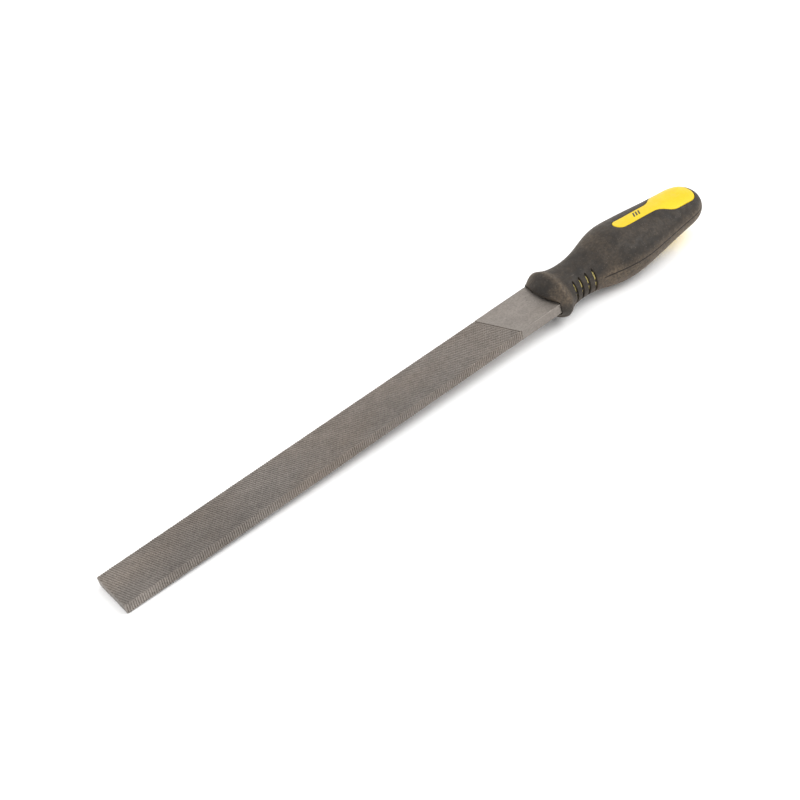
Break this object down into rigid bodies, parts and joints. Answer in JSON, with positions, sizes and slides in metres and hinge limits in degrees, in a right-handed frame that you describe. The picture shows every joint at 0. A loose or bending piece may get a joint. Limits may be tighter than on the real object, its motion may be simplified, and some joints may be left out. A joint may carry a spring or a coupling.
{
  "type": "flat file",
  "caption": "Hand flat file: parallel steel blade with cut faces and edges, bare heel and hidden tang, in a black rubber-covered handle with yellow spoon-shaped insets.",
  "frame": {"origin": "centre of the blade's end face at the tip, which is where a file's length is measured from", "axes": "+X from the tip along the blade to the butt of the handle, +Y across the blade's width, +Z square to the blade's upper face"},
  "size_m": [0.3485, 0.0344, 0.0272],
  "materials": {
    "blade_steel": "hardened carbon steel, cut faces matt grey, heel ground smooth",
    "core_plastic": "moulded yellow plastic, satin",
    "grip_rubber": "black overmoulded rubber, fine matt grain"
  },
  "bodies": {
    "blade": {"file_blade": "blade_steel"},
    "handle": {"handle_core": "core_plastic", "handle_grip": "grip_rubber"}
  },
  "joints": [
    {"name": "handle_pull", "type": "slide", "parent": "blade", "child": "handle", "axis": [1, 0, 0], "range_m": [0, 0.07]}
  ]
}
